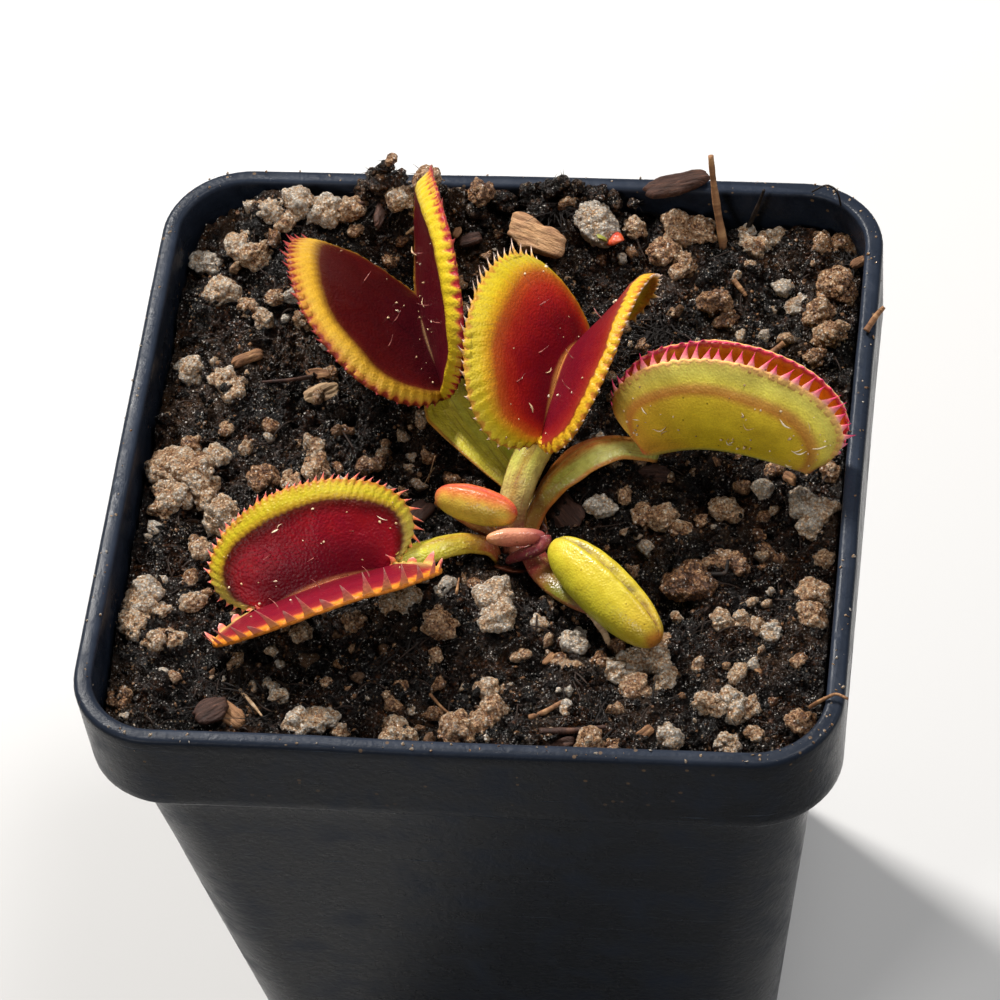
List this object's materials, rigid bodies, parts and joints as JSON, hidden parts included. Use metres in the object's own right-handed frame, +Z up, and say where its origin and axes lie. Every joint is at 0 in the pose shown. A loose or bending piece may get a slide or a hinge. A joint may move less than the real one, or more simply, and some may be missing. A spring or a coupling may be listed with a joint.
{
  "type": "potted venus flytrap",
  "caption": "Carnivorous house plant in a square plastic nursery pot of peat, with toothed snap traps, some open and some closed, and young folded leaves.",
  "frame": {"origin": "centre of the pot's base, on the surface it stands on", "axes": "+Z up, +Y towards the side where the traps lean back, +X to the right of it, along the closed trap"},
  "size_m": [0.07, 0.07, 0.095],
  "materials": {
    "pot_plastic": "dark grey thin-walled nursery plastic with a soft shine, scuffed and dusted with peat at the rim",
    "peat": "wet black-brown peat with tan porous grains and pale fibres",
    "bulb": "white fleshy rhizome with dark roots",
    "maroon_leaf": "dark maroon inside a yellow, ridged margin with pink-tipped teeth",
    "red_leaf": "deep red passing through orange into a yellow margin",
    "crimson_leaf": "finely wrinkled crimson inside a yellow-green margin",
    "green_leaf": "smooth yellow-green outside with a brown line under pink-red teeth",
    "young_leaf": "smooth yellow with a red-orange upper edge",
    "pink_leaf": "smooth pink-orange",
    "yellow_leaf": "glossy yellow-green with a seam and a red tip",
    "wood": "dry tan wood with open grain",
    "bark": "rough brown bark"
  },
  "bodies": {
    "root": {"pot": "pot_plastic", "growing_medium": "peat", "rhizome": "bulb", "leaf_back_left": "maroon_leaf", "leaf_centre": "red_leaf", "leaf_front_left": "crimson_leaf", "leaf_right": "green_leaf", "young_leaf_upper": "young_leaf", "young_leaf_small": "pink_leaf", "young_leaf_front": "yellow_leaf", "wood_chip": "wood", "bark_chip_rim": "bark", "bark_flake_left": "bark", "twig": "wood"}
  },
  "joints": []
}
